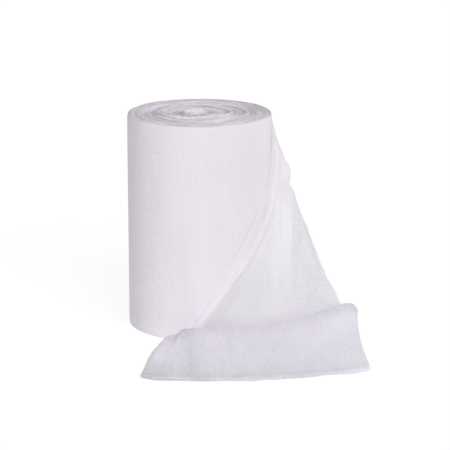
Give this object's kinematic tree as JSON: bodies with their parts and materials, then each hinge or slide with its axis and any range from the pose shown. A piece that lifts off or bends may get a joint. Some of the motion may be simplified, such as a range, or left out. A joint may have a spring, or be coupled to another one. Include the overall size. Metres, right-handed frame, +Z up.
{
  "type": "gauze bandage roll",
  "caption": "Thick roll of folded white cotton gauze standing on end, its free end turned down over a slanting fold and laid in front of it as a low folded pad.",
  "frame": {"origin": "centre of the roll's lower end, on the surface it stands on", "axes": "+Z up along the roll's axis; -Y is the front, where the folded pad lies; +X is the side where the free end comes off the roll"},
  "size_m": [0.2482, 0.2851, 0.228],
  "materials": {
    "gauze": "soft matte open-weave cotton"
  },
  "bodies": {
    "root": {"wound_roll": "gauze", "folded_turn": "gauze", "hanging_sheet": "gauze", "pad_lower_layers": "gauze", "pad_upper_layer": "gauze"}
  },
  "joints": []
}
